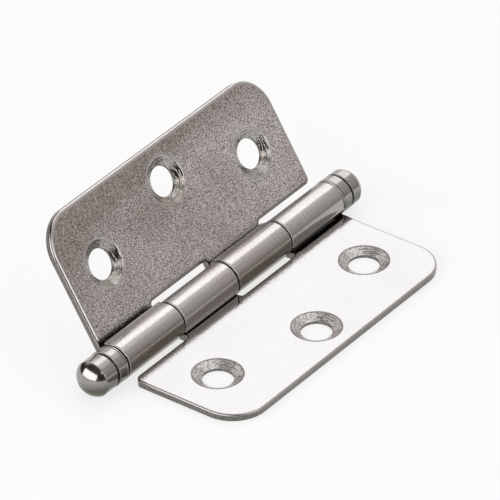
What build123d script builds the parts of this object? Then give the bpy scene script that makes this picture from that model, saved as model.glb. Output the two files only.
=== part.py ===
from build123d import *
import os

# Decorative butt hinge: two pressed leaves with rolled knuckles on one pin, a turned finial at each end.
# X runs along the barrel, and the front leaf lies flat towards -Y with its seat on Z = 0.
# The origin is on that seat, midway between the two end screw holes of the front leaf.

# Sheet and leaf outline, with the reach taken from the pivot line to the outer edge
sheet = 1.15
leaf_length = 51.0
leaf_reach = 22.1
corner_radius = 5.6
heel_radius = 1.0
edge_round = 0.25

# Screw holes, set in from the leaf ends and from the outer edge
hole_end_inset = 7.9
end_hole_edge_inset = 10.0
middle_hole_edge_inset = 5.6
hole_diameter = 4.6
countersink_diameter = 7.2
countersink_depth = 0.75

# Barrel: the front knuckles grip the pin, the rear ones turn on it, and the end ones are rolled less far shut
pin_diameter = 3.35
running_clearance = 0.04
knuckle_gap = 0.28
knuckle_chamfer = 0.16
window_gap = 0.45
window_corner = 0.5
inner_mouth_gap = 0.35
end_mouth_gap = 0.95
mouth_lip = 0.25

# Finials: alike but for the cap, which is longer at the near end
collar_length = 2.3
near_cap_length = 2.6
far_cap_length = 1.85
cap_step = 0.06
dome_height = 1.8
groove_depth = 0.4
groove_width = 0.5
finial_edge = 0.15
finial_play = 0.5
pin_seat = 3.4

# Angle between the faces of the two leaves
leaf_angle = 122.0

# Sizes that follow from the ones above
leaf_end = leaf_length / 2
hole_end = leaf_end - hole_end_inset
end_hole_line = leaf_reach - end_hole_edge_inset
middle_hole_line = leaf_reach - middle_hole_edge_inset
pin_radius = pin_diameter / 2
grip_bore = pin_radius
running_bore = pin_radius + running_clearance
barrel_radius = running_bore + sheet
window_line = barrel_radius + window_gap
knuckle_length = (leaf_length - 3 * knuckle_gap) / 4
# Middles of the second and the fourth knuckle, the pair that one leaf carries
knuckle_middles = (-(knuckle_length + knuckle_gap) / 2, leaf_end - knuckle_length / 2)
pivot = Pos(0, end_hole_line, grip_bore + sheet)


def plate(seat):
    """Flat part of a leaf with its two tabs. The pivot is the X axis, outward is -Y, the back face lies at seat."""
    field = leaf_reach - window_line
    outline = Pos(0, -window_line - field / 2) * Rectangle(leaf_length, field)
    for middle in knuckle_middles:
        outline += Pos(middle, -window_line / 2) * Rectangle(knuckle_length, window_line)
    outer = outline.vertices().group_by(Axis.Y)[0]
    inner = outline.vertices().group_by(Axis.Y)[1].sort_by(Axis.X)
    outline = fillet(outer, corner_radius)
    outline = fillet(outline.vertices().sort_by_distance(inner[0])[0], heel_radius)
    for root in inner[1:]:
        outline = fillet(outline.vertices().sort_by_distance(root)[0], window_corner)
    body = Pos(0, 0, seat) * extrude(outline, sheet)
    rim = body.faces().sort_by(Axis.Z)[-1].outer_wire().edges()
    tab_ends = rim.group_by(Axis.Y)[-1]
    return fillet(rim - tab_ends, edge_round)


def screw_hole():
    """Bore with a countersink that opens at Z = 0, cut down through the sheet."""
    bore = Pos(0, 0, -sheet) * Cylinder(hole_diameter / 2, 4 * sheet)
    slope = (countersink_diameter - hole_diameter) / 2 / countersink_depth
    top_radius = countersink_diameter / 2 + slope * sheet
    from_base = (Align.CENTER, Align.CENTER, Align.MIN)
    sink = Cone(hole_diameter / 2, top_radius, countersink_depth + sheet, align=from_base)
    return bore + Pos(0, 0, -countersink_depth) * sink


def knuckle(bore, mouth_gap):
    """Sheet rolled around the pin, with a lipped mouth left open above the leaf, centred on X = 0."""
    outer = bore + sheet
    section = Pos(0, bore + sheet / 2) * Rectangle(knuckle_length, sheet)
    section = chamfer(section.vertices().group_by(Axis.Y)[-1], knuckle_chamfer)
    roll = revolve(section, Axis.X)
    # The mouth opens between the roll's end, drop below the pin axis, and the tab under it
    drop = bore - mouth_gap
    outward = (outer**2 - drop**2) ** 0.5
    inside = 1 - mouth_lip / outer
    beyond = 2 * outer
    mouth = Polyline(
        (0, 0),
        (-outward * inside, -drop * inside),
        (-outward - mouth_lip, mouth_lip - drop),
        (-beyond, mouth_lip - drop),
        (-beyond, -beyond),
        (0, -beyond),
        close=True,
    )
    return roll - extrude(Plane.YZ * make_face(mouth), knuckle_length, both=True)


def leaf(bore):
    """One pressed leaf around the pivot, with the second and the fourth knuckle of the barrel."""
    seat = -bore - sheet
    body = plate(seat)
    hole = screw_hole()
    for x, y in ((-hole_end, end_hole_line), (0, middle_hole_line), (hole_end, end_hole_line)):
        body -= Pos(x, -y, seat + sheet) * hole
    for middle, mouth_gap in zip(knuckle_middles, (inner_mouth_gap, end_mouth_gap)):
        body += Pos(middle, 0, 0) * knuckle(bore, mouth_gap)
    return body


def finial(cap_length):
    """Turned end piece on the X axis: collar from X = 0, groove, cap and dome towards +X, socket for the pin."""
    collar = barrel_radius
    cap = collar - cap_step
    cap_end = collar_length + cap_length
    apex = cap_end + dome_height
    half_groove = groove_width / 2
    turned = Polyline(
        (0, 0),
        (0, collar - finial_edge),
        (finial_edge, collar),
        (collar_length - half_groove, collar),
        (collar_length, cap - groove_depth),
        (collar_length + half_groove, cap),
        (cap_end, cap),
    )
    dome = RadiusArc((cap_end, cap), (apex, 0), (cap**2 + dome_height**2) / (2 * dome_height))
    axis = Line((apex, 0), (0, 0))
    body = revolve(make_face(turned + dome + axis), Axis.X)
    return body - Rot(0, 90, 0) * Cylinder(pin_radius, 2 * pin_seat)


# The far finial is driven home on the fourth knuckle, the near one leaves the first knuckle free to turn
near_seat = leaf_end + finial_play
far_seat = leaf_end
pin_length = near_seat + far_seat + 2 * pin_seat
pin_middle = (far_seat - near_seat) / 2

nodes = {
    "front_leaf": pivot * leaf(grip_bore),
    "rear_leaf": pivot * Rot(180 - leaf_angle, 0, 0) * Rot(0, 0, 180) * leaf(running_bore),
    "hinge_pin": pivot * Pos(pin_middle, 0, 0) * Rot(0, 90, 0) * Cylinder(pin_radius, pin_length),
    "near_finial": pivot * Pos(-near_seat, 0, 0) * Rot(0, 0, 180) * finial(near_cap_length),
    "far_finial": pivot * Pos(far_seat, 0, 0) * finial(far_cap_length),
}

os.makedirs("parts", exist_ok=True)
for name, solid in nodes.items():
    export_step(solid, f"parts/{name}.step")
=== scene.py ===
import math

import bmesh
import bpy
from mathutils import Matrix, Vector, noise
from mathutils.geometry import delaunay_2d_cdt
from mathutils.kdtree import KDTree


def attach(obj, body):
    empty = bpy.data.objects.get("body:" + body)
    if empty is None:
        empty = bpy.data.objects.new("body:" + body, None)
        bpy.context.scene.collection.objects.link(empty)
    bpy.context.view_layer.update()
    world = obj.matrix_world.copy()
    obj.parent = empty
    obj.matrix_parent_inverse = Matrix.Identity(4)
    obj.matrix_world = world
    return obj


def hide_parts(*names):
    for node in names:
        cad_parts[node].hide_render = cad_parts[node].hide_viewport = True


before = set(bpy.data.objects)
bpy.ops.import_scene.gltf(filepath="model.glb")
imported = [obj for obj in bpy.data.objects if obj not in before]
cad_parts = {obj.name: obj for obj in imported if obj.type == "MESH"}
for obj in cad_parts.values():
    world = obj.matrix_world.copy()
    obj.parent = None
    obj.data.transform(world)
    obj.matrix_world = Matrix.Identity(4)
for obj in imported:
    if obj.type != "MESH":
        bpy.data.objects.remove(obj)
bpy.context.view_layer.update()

# Sizes of the hinge in millimetres, as in its solids
sheet = 1.15
leaf_end = 25.5
leaf_reach = 22.1
corner_radius = 5.6
heel_radius = 1.0
hole_end = 17.6
end_hole_line = 12.1
middle_hole_line = 16.5
bore_radius = 2.3
sink_radius = 3.6
sink_depth = 0.75
pin_radius = 1.675
running_bore = 1.715
barrel_radius = 2.865
window_line = 3.315
window_corner = 0.5
knuckle_length = 12.54
knuckle_gap = 0.28
knuckle_chamfer = 0.16
collar_length = 2.3
near_cap_length = 2.6
far_cap_length = 1.85
cap_step = 0.06
dome_height = 1.8
groove_depth = 0.4
groove_width = 0.5
finial_edge = 0.15
finial_play = 0.5
pin_seat = 3.4
leaf_angle = 122.0

# Finish of the pressed sheet in millimetres, which only the scene has. The sheared band of an edge ends
# and its torn band starts at a share of the sheet.
edge_margin = 0.1
sheared_to = 0.52
torn_from = 0.44
torn_taper = 0.035
back_round = 0.08
knuckle_edge = 0.1
lip_round = 0.13
lip_burr = 0.05
sink_rim = 0.44
bore_break = 0.06

# Steps of the meshes: over the die roll and the back rounding of an edge, and across a tab
roll_steps = 8
back_steps = 3
tab_columns = 10

millimetre = 0.001
knuckle_middles = (-(knuckle_length + knuckle_gap) / 2, leaf_end - knuckle_length / 2)
pivot = Matrix.Translation((0, end_hole_line, pin_radius + sheet))

# Surface kinds of a leaf, in the order of its material slots
FACE, EDGE, SINK, BARREL, HOLLOW, RIM = range(6)


class Skin:
    """Points in millimetres and faces with a surface kind, welded where patches meet."""

    def __init__(self):
        self.points = []
        self.faces = []
        self.kinds = []

    def grid(self, rows, kind, closed=False):
        """Quads between equal rows, of one kind or one for each column; closed joins the ends of a row."""
        start = len(self.points)
        width = len(rows[0])
        for row in rows:
            self.points.extend(row)
        for r in range(len(rows) - 1):
            for c in range(width if closed else width - 1):
                d = (c + 1) % width
                a = start + r * width
                self.faces.append((a + c, a + d, a + width + d, a + width + c))
                self.kinds.append(kind[c] if isinstance(kind, list) else kind)

    def face(self, loop, kind):
        """One face round a loop of points."""
        start = len(self.points)
        self.points.extend(loop)
        self.faces.append(tuple(range(start, start + len(loop))))
        self.kinds.append(kind)

    def piece(self, name, matrix, materials, sharp=35.0):
        """The finished object, in metres in the frame of the solids, creased at edges over sharp degrees."""
        weld, sliver = 2e-4, 1e-5
        mesh = bpy.data.meshes.new(name)
        mesh.from_pydata(self.points, [], self.faces)
        mesh.polygons.foreach_set("material_index", self.kinds)
        bm = bmesh.new()
        bm.from_mesh(mesh)
        bmesh.ops.remove_doubles(bm, verts=bm.verts, dist=weld)
        bmesh.ops.dissolve_degenerate(bm, edges=bm.edges, dist=sliver)
        bmesh.ops.recalc_face_normals(bm, faces=bm.faces)
        for face in bm.faces:
            face.smooth = True
        for edge in bm.edges:
            if len(edge.link_faces) == 2:
                edge.smooth = edge.calc_face_angle(0) < math.radians(sharp)
        bm.to_mesh(mesh)
        bm.free()
        mesh.transform(Matrix.Scale(millimetre, 4) @ matrix)
        mesh.update()
        obj = bpy.data.objects.new(name, mesh)
        bpy.context.scene.collection.objects.link(obj)
        for material in materials:
            mesh.materials.append(material)
        return obj


def chain(corners, spacing):
    """Points with their outward normals along corners (x, y, radius) that keep the material on their left."""
    # A straight run has a point close to each end, so that shading doesn't bleed into it from the corner
    guard, guarded_run = 0.04, 0.3
    arc_spacing, least_steps, least_radius = 0.28, 4, 1.0
    out = []
    start = Vector(corners[0][:2])
    for i in range(1, len(corners)):
        here = Vector(corners[i][:2])
        along = (here - Vector(corners[i - 1][:2])).normalized()
        normal = Vector((along.y, -along.x))
        last = i == len(corners) - 1
        end = here
        if not last:
            onward = (Vector(corners[i + 1][:2]) - here).normalized()
            turn = math.atan2(along.x * onward.y - along.y * onward.x, along.dot(onward))
            radius = corners[i][2]
            tangent = radius * math.tan(abs(turn) / 2)
            end = here - along * tangent
        run = (end - start).length
        count = max(1, round(run / spacing))
        stops = [k / count for k in range(count + 1)]
        if run > guarded_run:
            stops = sorted({*stops, guard / run, 1 - guard / run})
        out += [(start.lerp(end, t), normal) for t in stops]
        if not last:
            side = math.copysign(radius, turn)
            centre = end - normal * side
            steps = max(least_steps, round(abs(turn) * max(radius, least_radius) / arc_spacing))
            for k in range(1, steps):
                swung = normal.copy()
                swung.rotate(Matrix.Rotation(turn * k / steps, 2))
                out.append((centre + swung * side, swung))
            start = here + onward * tangent
    return out


def edge_profile(width, depth, back, taper):
    """(inset, height over the back) across the sheet's edge: die roll in front, sheared band, torn band."""
    quarter = math.pi / 2
    out = [(width + edge_margin, sheet)]
    for k in range(roll_steps + 1):
        t = quarter * k / roll_steps
        out.append((width * (1 - math.sin(t)), sheet - depth * (1 - math.cos(t))))
    out += [(0, sheared_to * sheet), (taper, torn_from * sheet)]
    for k in range(back_steps + 1):
        t = quarter * k / back_steps
        out.append((taper + back * (1 - math.cos(t)), back * (1 - math.sin(t))))
    return out + [(taper + back + edge_margin, 0)]


def filled(skin, loop, holes, height, kind):
    """Flat face inside loop, without its round holes (x, y, radius, ring)."""
    points = [Vector(p) for p in loop]
    edges = [(i, (i + 1) % len(loop)) for i in range(len(loop))]
    for x, y, radius, ring in holes:
        first = len(points)
        points += [Vector(p) for p in ring]
        edges += [(first + i, first + (i + 1) % len(ring)) for i in range(len(ring))]
    near = KDTree(len(points))
    for i, p in enumerate(points):
        near.insert((p.x, p.y, 0), i)
    near.balance()

    def inside(p):
        odd = False
        for a, b in zip(loop, loop[1:] + loop[:1]):
            if (a[1] > p.y) != (b[1] > p.y) and p.x < a[0] + (p.y - a[1]) / (b[1] - a[1]) * (b[0] - a[0]):
                odd = not odd
        return odd and all((p - Vector((x, y))).length > radius for x, y, radius, ring in holes)

    # A triangular lattice over the whole leaf, kept clear of the loop and the rings
    pitch, row_ratio, clear = 1.3, 0.87, 0.55
    lattice_rows, lattice_columns = range(-1, 20), range(-21, 22)
    for row in lattice_rows:
        for col in lattice_columns:
            p = Vector(((col + 0.5 * (row % 2)) * pitch, -row * pitch * row_ratio))
            if inside(p) and near.find((p.x, p.y, 0))[2] > clear * pitch:
                points.append(p)
    verts, _, tris, _, _, _ = delaunay_2d_cdt(points, edges, [], 0, 1e-6)
    for tri in tris:
        corners = [verts[i] for i in tri]
        if inside(sum(corners, Vector((0, 0))) / 3):
            skin.face([(p.x, p.y, height) for p in corners], kind)


def screw_hole(skin, x, y, back, seed, lip):
    """Countersunk hole: raised rim, chattered cone, punched bore. Returns its front and back rings."""
    segments, cone_steps = 288, 24
    slope = math.atan2(sink_depth, sink_radius - bore_radius)
    # Rim: how far outside the countersink, and the share of the burr's height there; then the edge drops in
    burr, edge_inset, edge_drop = 0.03, 0.02, 0.039
    rim = ((sink_rim, 0.0), (0.34, 0.0), (0.24, 0.5), (0.15, 1.0), (0.06, 0.7))
    cone_start, mark_fade = 0.08, 0.6
    # Break between cone and bore: out, up and down from their corner. Turn of the bore's edge at the back.
    break_out, break_up, break_down = 0.03, 0.015, 0.03
    back_turn = 0.02
    # Marks left by the cutter: broken rings, crossed by faint streaks that lean along the cone
    streak_rate, streak_lean, streak_run, streak_shift = 16, 0.22, 0.7, 9
    ring_rate, ring_run, ring_shift = 3.6, 5.2, 7
    streak_lift, fine_lift, fine_ratio, ring_lift = 0.007, 0.005, 2.3, 0.026

    # Radius, depth and share of the marks, from the front face to the back
    profile = [(sink_radius + out, rise * burr, 0) for out, rise in rim]
    profile.append((sink_radius - edge_inset, -edge_drop * math.sin(slope), 0))
    for k in range(cone_steps + 1):
        t = cone_start + (1 - cone_start) * k / cone_steps
        radius = sink_radius + (bore_radius - sink_radius) * t
        profile.append((radius, -sink_depth * t, math.sin(math.pi * t) ** mark_fade))
    profile[-1] = (bore_radius + break_out, -sink_depth + break_up, 0)
    profile += [(bore_radius, -sink_depth - break_down, 0), (bore_radius, -sheet + bore_break, 0)]
    profile += [(bore_radius + back_turn, -sheet + back_turn, 0), (bore_radius + bore_break, -sheet, 0)]
    rows = []
    for radius, depth, chatter in profile:
        row = []
        for s in range(segments):
            a = 2 * math.pi * s / segments
            lean = a + streak_lean * radius
            streak_depth = streak_run * radius + streak_shift * seed
            streak = Vector((streak_rate * math.cos(lean), streak_rate * math.sin(lean), streak_depth))
            ring_depth = ring_run * radius + ring_shift * seed
            ring = Vector((ring_rate * math.cos(a), ring_rate * math.sin(a), ring_depth))
            streaked = streak_lift * noise.noise(streak) + fine_lift * noise.noise(streak * fine_ratio)
            lift = chatter * (streaked + ring_lift * noise.noise(ring))
            r = radius - lift * math.sin(slope)
            z = back + sheet + depth + lift * math.cos(slope)
            row.append((x + r * math.cos(a), y + r * math.sin(a), z))
        rows.append(row)
    wrapped = [row + row[:1] for row in rows]
    skin.grid(wrapped[:3], FACE)
    skin.grid(wrapped[2:6], lip)
    skin.grid(wrapped[5:-4], SINK)
    skin.grid(wrapped[-5:], EDGE)
    return [p[:2] for p in rows[0]], [p[:2] for p in rows[-1]]


def knuckle(skin, middle, bore, gap, straight, roll, spread):
    """The tab rolled round the pin, from under the pivot to the mouth, with its last stretch straight."""
    outer = bore + sheet
    half = knuckle_length / 2
    end = math.radians(270) + math.asin((bore - gap) / outer)
    bent = end - straight / outer
    bent_steps, straight_steps, lip_steps = 100, 8, 6
    # The burr: where it starts before the roll's end, and how far it rises towards the lip
    burr_start = 0.36
    burr = ((0.3, 0.008), (0.24, 0.03), (0.19, 0.045))
    # The edges of the plate pass into those of the barrel over this turn
    blend_turn = math.radians(40)

    # Angle round the pin, and how far the lip's rounding has lowered the outside
    rings = [(bent * k / bent_steps, 0.0) for k in range(bent_steps + 1)]
    for k in range(1, straight_steps + 1):
        rings.append((bent + (straight - burr_start) / outer * k / straight_steps, 0.0))
    rings += [(end - before / outer, -rise) for before, rise in burr]
    for k in range(lip_steps + 1):
        t = math.pi / 2 * k / lip_steps
        rings.append((end - lip_round / outer * (1 - math.sin(t)), lip_round * (1 - math.cos(t)) - lip_burr))
    side = [HOLLOW] * (roll_steps + 2) + [EDGE] + [BARREL] * (back_steps + 2)
    kinds = side + [BARREL] * tab_columns + side[::-1] + [HOLLOW] * tab_columns
    steps = range(1, tab_columns)
    rows = []
    for angle, lip in rings:
        blend = min(1.0, angle / blend_turn)
        width = roll[0] + (knuckle_edge - roll[0]) * blend
        drop = roll[1] + (knuckle_edge - roll[1]) * blend
        back = back_round + (knuckle_chamfer - back_round) * blend
        profile = edge_profile(width, drop, back, torn_taper * (1 - blend))
        left = [(middle - half + inset, w) for inset, w in profile]
        right = [(middle + half + spread * blend - inset, w) for inset, w in reversed(profile)]
        under = [(left[-1][0] + (right[0][0] - left[-1][0]) * k / tab_columns, 0.0) for k in steps]
        over = [(right[-1][0] + (left[0][0] - right[-1][0]) * k / tab_columns, sheet) for k in steps]
        away = max(0.0, (angle - bent) * outer) ** 2 / (2 * outer)
        row = []
        for x, w in left + under + right + over:
            r = outer + away - lip - w * (sheet - lip) / sheet
            row.append((x, r * math.sin(angle), -r * math.cos(angle)))
        rows.append(row)
    skin.grid(rows, kinds, closed=True)
    skin.face(rows[-1], HOLLOW)


def sprung(y, slope):
    """How far the rolling has lifted the face at y beside the barrel, with slope at the window line."""
    start, end = -7.5, -0.4
    run = -window_line - start
    top = slope * run / 2
    if not start < y < end:
        return 0.0
    if y < -window_line:
        return top * ((y - start) / run) ** 2
    t = (y + window_line) / (end + window_line)
    return (2 * t**3 - 3 * t**2 + 1) * top + (t**3 - 2 * t**2 + t) * slope * (end + window_line)


def leaf(name, bore, matrix, materials, roll, straight, gaps, spread, slope, lip):
    """One pressed leaf round the pivot, with the second and the fourth knuckle of the barrel.

    roll is the width and depth of its die roll, straight the unbent end of its knuckles, gaps their mouths,
    spread how much longer the fourth one is, slope the lift beside the barrel, lip the kind of its hole rims.
    """
    spacing = 1.2
    skin = Skin()
    back = -bore - sheet
    half = knuckle_length / 2
    second, fourth = knuckle_middles
    window = [
        (fourth - half, 0),
        (fourth - half, -window_line, window_corner),
        (second + half, -window_line, window_corner),
        (second + half, 0),
    ]
    around = [
        (second - half, 0),
        (second - half, -window_line, window_corner),
        (-leaf_end, -window_line, heel_radius),
        (-leaf_end, -leaf_reach, corner_radius),
        (leaf_end, -leaf_reach, corner_radius),
        (leaf_end, 0),
    ]
    runs = [chain(window, spacing), chain(around, spacing)]
    plate_edge = edge_profile(*roll, back_round, torn_taper)
    for run in runs:
        rows = [[(*(p - n * inset), back + w) for inset, w in plate_edge] for p, n in run]
        skin.grid(rows, [FACE] + [RIM] * roll_steps + [EDGE] * (back_steps + 4))
    for middle, gap, widened in zip(knuckle_middles, gaps, (0, spread)):
        knuckle(skin, middle, bore, gap, straight, roll, widened)
    # The seed of the cutter's marks differs between the holes and between the leaves
    holes = ((-hole_end, end_hole_line), (0, middle_hole_line), (hole_end, end_hole_line))
    rings = []
    for seed, (x, y) in enumerate(holes):
        rings.append((x, -y, *screw_hole(skin, x, -y, back, seed + 0.7 * bore, lip)))
    front_side = (plate_edge[0][0], back + sheet, 0, sink_radius + sink_rim)
    back_side = (plate_edge[-1][0], back, 1, bore_radius + bore_break)
    for inset, height, which, radius in (front_side, back_side):
        loop = []
        for run in runs:
            side = [tuple(p - n * inset) for p, n in run]
            loop += side
            # The run ends at a tab, whose end edge leads on to the next run
            other = runs[0] if run is runs[1] else runs[1]
            a, b = Vector(side[-1]), other[0][0] - other[0][1] * inset
            loop += [tuple(a.lerp(b, k / tab_columns)) for k in range(1, tab_columns)]
        filled(skin, loop, [(r[0], r[1], radius, r[2 + which]) for r in rings], height, FACE)
    # The face lifts, the back stays, and the knuckles above the face keep their form
    highest_share = 1.02
    for i, (x, y, z) in enumerate(skin.points):
        share = (z - back) / sheet
        if share < highest_share:
            skin.points[i] = (x, y, z + share * sprung(y, slope))
    return skin.piece(name, matrix, materials)


def finial(name, matrix, materials, cap_length):
    """Turned end piece on the X axis: collar from X = 0, groove, cap and dome towards +X."""
    segments, crease_steps, dome_steps, spacing = 180, 6, 40, 0.3
    socket_room = 0.02
    line_start, line_middle, line_end, line_depth, line_lip, line_root = 0.3, 0.38, 0.46, 0.08, 0.03, 0.02
    groove_lip, groove_floor, groove_root = 0.09, 0.13, 0.05
    cap = barrel_radius - cap_step
    cap_end = collar_length + cap_length
    half_groove = groove_width / 2
    # Seat, a fine turned line on the collar, groove and cap
    corners = [
        (0, pin_radius + socket_room),
        (0, barrel_radius, finial_edge),
        (line_start, barrel_radius, line_lip),
        (line_middle, barrel_radius - line_depth, line_root),
        (line_end, barrel_radius, line_lip),
        (collar_length - half_groove, barrel_radius, groove_lip),
        (collar_length - groove_floor, cap - groove_depth, groove_root),
        (collar_length + groove_floor, cap - groove_depth, groove_root),
        (collar_length + half_groove, cap, groove_lip),
        (cap_end, cap),
    ]
    # The chain keeps the material on its left, so it runs from the cap back to the seat
    profile = [p for p, n in chain(corners[::-1], spacing)][::-1]
    # The dome meets the cap in a crease that the plating has rounded a little
    dome_radius = (cap**2 + dome_height**2) / (2 * dome_height)
    centre = cap_end + dome_height - dome_radius
    crease = Vector((cap_end, cap))
    worn = 0.06
    reach = math.asin(cap / dome_radius) - worn / dome_radius
    near = Vector((cap_end - worn, cap))
    far = Vector((centre + dome_radius * math.cos(reach), dome_radius * math.sin(reach)))
    profile[-1] = near
    for k in range(1, crease_steps):
        t = k / crease_steps
        profile.append(near * (1 - t) ** 2 + crease * 2 * t * (1 - t) + far * t * t)
    for k in range(dome_steps + 1):
        a = reach * (1 - k / dome_steps)
        profile.append(Vector((centre + dome_radius * math.cos(a), dome_radius * math.sin(a))))
    socket_end = pin_seat + socket_room
    socket = [Vector((socket_end, 0)), Vector((socket_end, pin_radius + socket_room))]
    skin = Skin()
    turn = [2 * math.pi * s / segments for s in range(segments)]
    rows = [[(p.x, p.y * math.cos(a), p.y * math.sin(a)) for a in turn] for p in socket + profile]
    skin.grid(rows, 0, closed=True)
    return skin.piece(name, matrix, materials, sharp=50.0)


class Nodes:
    """A material's node tree, with short calls to add to it."""

    def __init__(self, name):
        self.material = bpy.data.materials.new(name)
        self.material.use_nodes = True
        self.tree = self.material.node_tree
        self.shader = self.tree.nodes["Principled BSDF"]
        self.place = self.add("ShaderNodeTexCoord").outputs["Object"]

    def add(self, kind, **settings):
        node = self.tree.nodes.new(kind)
        for key, value in settings.items():
            setattr(node, key, value)
        return node

    def link(self, out, into):
        self.tree.links.new(out, into)

    def noise(self, scale, detail=2.0, rough=0.5, stretch=None, turn=0.0):
        """Noise with its scale in features per metre."""
        node = self.add("ShaderNodeTexNoise")
        node.inputs["Scale"].default_value = scale
        node.inputs["Detail"].default_value = detail
        node.inputs["Roughness"].default_value = rough
        place = self.place
        if stretch:
            mapping = self.add("ShaderNodeMapping")
            mapping.inputs["Scale"].default_value = stretch
            mapping.inputs["Rotation"].default_value = (0, turn, 0)
            self.link(place, mapping.inputs["Vector"])
            place = mapping.outputs["Vector"]
        self.link(place, node.inputs["Vector"])
        return node.outputs["Fac"]

    def along(self, direction):
        """How far a point lies along a direction, in metres."""
        node = self.add("ShaderNodeVectorMath", operation="DOT_PRODUCT")
        self.link(self.place, node.inputs[0])
        node.inputs[1].default_value = direction
        return node.outputs["Value"]

    def ramp(self, fac, stops):
        """A colour ramp over stops (position, colour)."""
        node = self.add("ShaderNodeValToRGB")
        items = node.color_ramp.elements
        while len(items) < len(stops):
            items.new(0.5)
        for item, (at, colour) in zip(items, stops):
            item.position = at
            item.color = (*colour, 1)
        self.link(fac, node.inputs["Fac"])
        return node.outputs["Color"]

    def mix(self, fac, a, b, blend="MIX"):
        """Two colours mixed, each of the three values a socket or a constant."""
        node = self.add("ShaderNodeMix", data_type="RGBA", blend_type=blend)
        # Places of the factor, the two colours and the result among the node's sockets
        factor, first, second, result = 0, 6, 7, 2
        for value, socket in ((fac, factor), (a, first), (b, second)):
            if hasattr(value, "links"):
                self.link(value, node.inputs[socket])
            else:
                node.inputs[socket].default_value = value if socket == factor else (*value, 1)
        return node.outputs[result]

    def math(self, operation, a, b, clamp=False):
        """Two values combined, the second a socket or a constant."""
        node = self.add("ShaderNodeMath", operation=operation, use_clamp=clamp)
        self.link(a, node.inputs[0])
        if hasattr(b, "links"):
            self.link(b, node.inputs[1])
        else:
            node.inputs[1].default_value = b
        return node.outputs[0]

    def spread(self, fac, low, high, start=0.3, end=0.7):
        """A value mapped from start..end to low..high."""
        node = self.add("ShaderNodeMapRange")
        node.inputs["From Min"].default_value = start
        node.inputs["From Max"].default_value = end
        node.inputs["To Min"].default_value = low
        node.inputs["To Max"].default_value = high
        self.link(fac, node.inputs["Value"])
        return node.outputs["Result"]

    def bump(self, height, distance, below=None):
        """A normal lifted by height times distance, in metres."""
        node = self.add("ShaderNodeBump")
        node.inputs["Strength"].default_value = 1.0
        node.inputs["Distance"].default_value = distance
        self.link(height, node.inputs["Height"])
        if below:
            self.link(below, node.inputs["Normal"])
        return node.outputs["Normal"]


def plated(name, light, dark, stain, grain, roughness, relief, worn=False, crisp=0.14, shaded_sides=(), metal=1.0):
    """Nickel plate over pressed steel: fine grain in colour, gloss and relief, faint warm stains, painted
    shade.
    """
    n = Nodes(name)
    fine = n.noise(grain, detail=1.0, rough=0.6)
    cloud = n.noise(80.0, detail=4.0, rough=0.6)
    speck = n.noise(grain * 0.45, detail=2.0, rough=0.6)
    colour = n.ramp(fine, [(0.5 - crisp, dark), (0.5 + crisp, light)])
    patches = n.spread(cloud, 0.0, 0.6, start=0.45, end=0.75)
    if worn:
        # Painted shade: browner and darker towards the outer near corner and along the outer edge
        corner = n.spread(n.along((-0.5, 0, 0.87)), 0.0, 0.95, start=0.011, end=0.026)
        outer = n.spread(n.along((0, 0, 1)), 0.0, 0.85, start=0.0165, end=0.0198)
        for more in (corner, outer):
            patches = n.math("ADD", patches, more, clamp=True)
    # The stain colour darkens the random patches as stains, and where worn also the painted shade above
    colour = n.mix(patches, colour, n.mix(0.75, colour, stain, "MULTIPLY"))
    if worn:
        # Short handling scratches in two directions
        for stretch, turn in (((9000.0, 260.0, 420.0), 0.5), ((7000.0, 300.0, 300.0), -0.9)):
            scratch = n.noise(1.0, detail=1.0, rough=0.5, stretch=stretch, turn=turn)
            scratched = n.spread(scratch, 0.0, 0.6, start=0.66, end=0.76)
            colour = n.mix(scratched, colour, (0.8, 0.78, 0.76))
    # Painted shade on some sides of the barrel and finials, from start to end away from its axis
    for side, start, end, shade_colour in shaded_sides:
        axis = millimetre * Vector(side).dot(pivot.translation)
        side_shade = n.spread(n.along(side), 0.0, 1.0, start=axis + start, end=axis + end)
        colour = n.mix(side_shade, colour, shade_colour, "MULTIPLY")
    n.link(colour, n.shader.inputs["Base Color"])
    n.link(n.spread(speck, *roughness), n.shader.inputs["Roughness"])
    normal = n.bump(fine, relief)
    normal = n.bump(speck, relief, normal)
    normal = n.bump(cloud, 3e-6, normal)
    n.link(normal, n.shader.inputs["Normal"])
    n.shader.inputs["Metallic"].default_value = metal
    return n.material


warm = (0.72, 0.64, 0.56)
# Painted shade: each is a side's direction, its start and end in metres from the pin's axis, and the colour
# that darkens it; the barrel towards the rear leaf, and barrel and finials from below
shade_behind = ((0, 0.746, 0.666), 0.0019, 0.0025, (0.52, 0.51, 0.505))
shade_below_front = ((0, -0.85, -0.53), 0.0005, 0.0019, (0.93, 0.88, 0.83))
shade_below_rear = ((0, -0.85, -0.53), 0.0006, 0.0021, (0.60, 0.545, 0.475))
shade_below_finial = ((0, -0.2, -0.98), -0.0005, 0.0010, (0.36, 0.37, 0.30))
rolled = dict(
    light=(0.475, 0.462, 0.458), dark=(0.40, 0.387, 0.382), stain=(0.86, 0.81, 0.76),
    grain=4600.0, roughness=(0.17, 0.23), relief=4e-6)

satin_front = plated(
    "satin_front", light=(0.466, 0.464, 0.475), dark=(0.442, 0.44, 0.45), stain=(0.93, 0.92, 0.90),
    grain=4000.0, roughness=(0.10, 0.15), relief=7e-6)
# The rear leaf is darker and browner at its outer edge and near corner as painted shade, tinted by its stain
# colour
satin_rear = plated(
    "satin_rear", light=(1.0, 0.957, 0.955), dark=(0.30, 0.282, 0.278), stain=(0.52, 0.475, 0.42),
    grain=6100.0, roughness=(0.17, 0.26), relief=25e-6, worn=True, crisp=0.05)
# Sheared edges: raw steel darker than the plate, and darkened further as painted shade from the floor they
# reflect
sheared = plated(
    "sheared_edge", light=(0.23, 0.22, 0.21), dark=(0.145, 0.138, 0.13), stain=warm,
    grain=3600.0, roughness=(0.2, 0.34), relief=6e-6)
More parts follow.
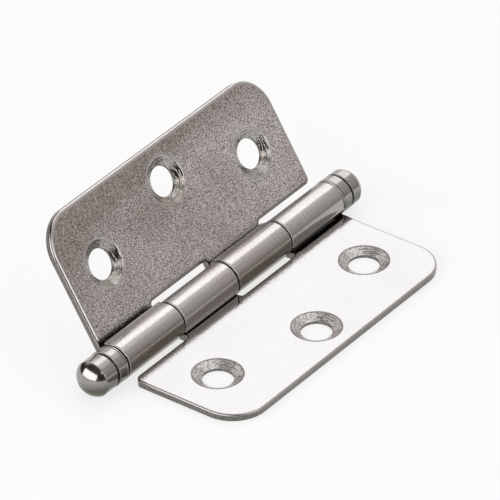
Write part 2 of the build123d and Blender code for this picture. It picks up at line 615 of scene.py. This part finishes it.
# Two copies of one plate with painted shade: both darker towards the rear leaf, and the rear leaf's knuckles
# far darker below
rolled_front = plated("rolled_front", **rolled, shaded_sides=(shade_behind, shade_below_front))
rolled_rear = plated("rolled_rear", **rolled, shaded_sides=(shade_behind, shade_below_rear))
rim_rear = plated(
    "rolled_rim", light=(0.55, 0.53, 0.52), dark=(0.47, 0.45, 0.44), stain=warm,
    grain=4000.0, roughness=(0.15, 0.22), relief=2e-6)
rim_front = plated(
    "rolled_rim_front", light=(0.46, 0.444, 0.435), dark=(0.40, 0.385, 0.376), stain=warm,
    grain=4000.0, roughness=(0.2, 0.3), relief=2e-6)
cut_front = plated(
    "cut_front", light=(0.72, 0.697, 0.695), dark=(0.30, 0.287, 0.285), stain=(0.9, 0.87, 0.85),
    grain=3600.0, roughness=(0.14, 0.24), relief=3e-6, crisp=0.15, metal=0.65)
cut_rear = plated(
    "cut_rear", light=(0.47, 0.455, 0.435), dark=(0.25, 0.24, 0.225), stain=warm,
    grain=3600.0, roughness=(0.1, 0.18), relief=3e-6)
# The finials are darker below as painted shade
turned = plated(
    "turned_finial", light=(0.36, 0.345, 0.338), dark=(0.33, 0.317, 0.31), stain=(0.9, 0.87, 0.8),
    grain=2000.0, roughness=(0.13, 0.19), relief=1e-6, shaded_sides=(shade_below_finial,))
# Painted shade: the pin is coloured dark so that the gaps between the knuckles read as shade
pin_painted_dark = plated(
    "drawn_pin", light=(0.20, 0.19, 0.18), dark=(0.12, 0.112, 0.105), stain=warm,
    grain=2600.0, roughness=(0.3, 0.42), relief=6e-6)
# Inside of the rolled knuckles: near black as grime and painted shade, so that their mouths and gaps read
# dark
hollow_shade = plated(
    "hollow_inside", light=(0.075, 0.068, 0.06), dark=(0.045, 0.04, 0.036), stain=warm,
    grain=2600.0, roughness=(0.4, 0.55), relief=6e-6)

half_turn = Matrix.Rotation(math.pi, 4, "Z")
rear_matrix = pivot @ Matrix.Rotation(math.radians(180 - leaf_angle), 4, "X") @ half_turn
near_matrix = pivot @ Matrix.Translation((-leaf_end - finial_play, 0, 0)) @ half_turn
far_matrix = pivot @ Matrix.Translation((leaf_end, 0, 0))
front = leaf(
    "front_leaf_pressing", pin_radius, pivot,
    [satin_front, sheared, cut_front, rolled_front, hollow_shade, rim_front],
    roll=(0.32, 0.25), straight=0.7, gaps=(0.42, 1.0), spread=0.0, slope=0.09, lip=EDGE)
rear = leaf(
    "rear_leaf_pressing", running_bore, rear_matrix,
    [satin_rear, sheared, cut_rear, rolled_rear, hollow_shade, rim_rear],
    roll=(0.55, 0.26), straight=1.3, gaps=(0.45, 1.5), spread=0.22, slope=0.0, lip=RIM)
near_finial = finial("near_finial_turned", near_matrix, [turned], near_cap_length)
far_finial = finial("far_finial_turned", far_matrix, [turned], far_cap_length)

for piece, body, slot, node in (
    (front, "fixed_side", "leaf", "front_leaf"),
    (rear, "swinging_side", "leaf", "rear_leaf"),
    (near_finial, "fixed_side", "finial", "near_finial"),
    (far_finial, "fixed_side", "finial", "far_finial"),
):
    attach(piece, body)
    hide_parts(node)

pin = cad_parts["hinge_pin"]
for slot in pin.material_slots:
    slot.material = pin_painted_dark

# Floor of white paper, in metres
floor_radius, floor_sides, floor_level = 4, 64, -0.00006
floor_mesh = bpy.data.meshes.new("floor")
floor_turn = [2 * math.pi * k / floor_sides for k in range(floor_sides)]
around = [(floor_radius * math.cos(a), floor_radius * math.sin(a), floor_level) for a in floor_turn]
floor_mesh.from_pydata(around, [], [tuple(range(floor_sides))])
floor = bpy.data.objects.new("floor", floor_mesh)
bpy.context.scene.collection.objects.link(floor)
paper = Nodes("paper")
paper_white = paper.ramp(paper.noise(4.0), [(0.3, (0.945, 0.945, 0.945)), (0.7, (0.955, 0.955, 0.955))])
paper.link(paper_white, paper.shader.inputs["Base Color"])
paper.shader.inputs["Roughness"].default_value = 0.9
paper.shader.inputs["Specular IOR Level"].default_value = 0.0
# Part of the paper's white is its own, as the camera and the metal see it, so that the shadow stays light
own_share = 0.75
ray = paper.add("ShaderNodeLightPath").outputs
seen = paper.math("ADD", ray["Is Camera Ray"], ray["Is Glossy Ray"])
seen = paper.math("ADD", seen, ray["Is Transmission Ray"], clamp=True)
white = paper.add("ShaderNodeEmission")
blend = paper.add("ShaderNodeMixShader")
paper.link(paper.math("MULTIPLY", seen, own_share), blend.inputs[0])
paper.link(paper.shader.outputs[0], blend.inputs[1])
paper.link(white.outputs[0], blend.inputs[2])
paper.link(blend.outputs[0], paper.tree.nodes["Material Output"].inputs["Surface"])
floor_mesh.materials.append(paper.material)


def softbox(name, azimuth, elevation, width, height, radiance):
    """Area lamp 1 m from the hinge; angles from +X towards +Y and above the floor, sizes in metres."""
    lamp = bpy.data.lights.new(name, "AREA")
    lamp.shape = "RECTANGLE"
    lamp.size = width
    lamp.size_y = height
    lamp.energy = radiance * math.pi * width * height
    obj = bpy.data.objects.new(name, lamp)
    a, e = math.radians(azimuth), math.radians(elevation)
    away = Vector((math.cos(a) * math.cos(e), math.sin(a) * math.cos(e), math.sin(e)))
    obj.location = away
    obj.rotation_mode = "QUATERNION"
    obj.rotation_quaternion = away.to_track_quat("Z", "Y")
    obj.visible_camera = False
    bpy.context.scene.collection.objects.link(obj)


softbox("back_softbox", azimuth=29, elevation=40, width=0.66, height=0.5, radiance=1.48)
softbox("left_softbox", azimuth=167, elevation=23, width=1.7, height=0.66, radiance=3.0)
softbox("front_strip", azimuth=-85, elevation=20, width=0.6, height=0.5, radiance=1.35)
softbox("top_softbox", azimuth=0, elevation=72, width=0.88, height=0.88, radiance=0.6)

# Studio walls: palest high up towards +X, with panels low and high at the back and high in front, and dark
# towards -X
world = bpy.data.worlds.new("studio")
bpy.context.scene.world = world
world.use_nodes = True
walls = world.node_tree
heading = walls.nodes.new("ShaderNodeTexCoord").outputs["Generated"]


def facing(direction, start, end, low, high):
    """A level that goes from low to high as the cosine between a ray and direction goes from start to end."""
    toward = walls.nodes.new("ShaderNodeVectorMath")
    toward.operation = "DOT_PRODUCT"
    toward.inputs[1].default_value = direction
    walls.links.new(heading, toward.inputs[0])
    level = walls.nodes.new("ShaderNodeMapRange")
    level.inputs["From Min"].default_value = start
    level.inputs["From Max"].default_value = end
    level.inputs["To Min"].default_value = low
    level.inputs["To Max"].default_value = high
    walls.links.new(toward.outputs["Value"], level.inputs["Value"])
    return level.outputs["Result"]


def joined(operation, a, b):
    """Two levels added or multiplied."""
    node = walls.nodes.new("ShaderNodeMath")
    node.operation = operation
    walls.links.new(a, node.inputs[0])
    walls.links.new(b, node.inputs[1])
    return node.outputs[0]


fall_stops = (
    (0.0, 0.0), (0.54, 0.0), (0.655, 0.02), (0.75, 0.27), (0.85, 0.49), (0.92, 0.59), (0.97, 0.67))
fall = walls.nodes.new("ShaderNodeValToRGB")
while len(fall.color_ramp.elements) < len(fall_stops):
    fall.color_ramp.elements.new(0.5)
for item, (at, value) in zip(fall.color_ramp.elements, fall_stops):
    item.position = at
    item.color = (value, value, value, 1)
pale_side = facing((0.539, -0.196, 0.819), start=-1, end=1, low=0, high=1)
walls.links.new(pale_side, fall.inputs["Fac"])
low_panel = facing((0.55, 0.80, 0.22), start=0.895, end=0.95, low=0, high=0.9)
back_panel = facing((0.0, 0.70, 0.71), start=0.93, end=0.98, low=0, high=0.9)
dark_side = facing((1, 0, 0), start=-0.16, end=0.0, low=0.12, high=1)
bright_end = facing((1, 0, 0), start=0.82, end=0.95, low=1, high=1.5)
front_panel = facing((-0.16, -0.70, 0.70), start=0.984, end=0.994, low=0, high=1.5)
shade = joined("ADD", fall.outputs["Color"], low_panel)
shade = joined("ADD", shade, back_panel)
shade = joined("MULTIPLY", shade, dark_side)
shade = joined("MULTIPLY", shade, bright_end)
shade = joined("ADD", shade, front_panel)
ambient = walls.nodes.new("ShaderNodeMath")
ambient.operation = "ADD"
ambient.inputs[1].default_value = 0.05
walls.links.new(shade, ambient.inputs[0])
background = walls.nodes["Background"]
background.inputs["Color"].default_value = (1, 0.94, 0.915, 1)
walls.links.new(ambient.outputs[0], background.inputs["Strength"])

# Camera of the photograph: its axes and place in the frame
camera = bpy.data.objects.new("camera", bpy.data.cameras.new("camera"))
camera.data.lens = 502.87
camera.data.sensor_width = 36
camera.data.clip_start = 0.01
right = Vector((0.59788991, -0.80148286, -0.01236456))
down = Vector((-0.45522025, -0.32680781, -0.82823377))
look = Vector((0.65977433, 0.50082121, -0.56024632))
stand = Matrix.Translation((-0.658810, -0.492763, 0.569162))
camera.matrix_world = stand @ Matrix((right, -down, -look)).transposed().to_4x4()
bpy.context.scene.collection.objects.link(camera)
bpy.context.scene.camera = camera
bpy.context.scene.view_settings.view_transform = "Standard"
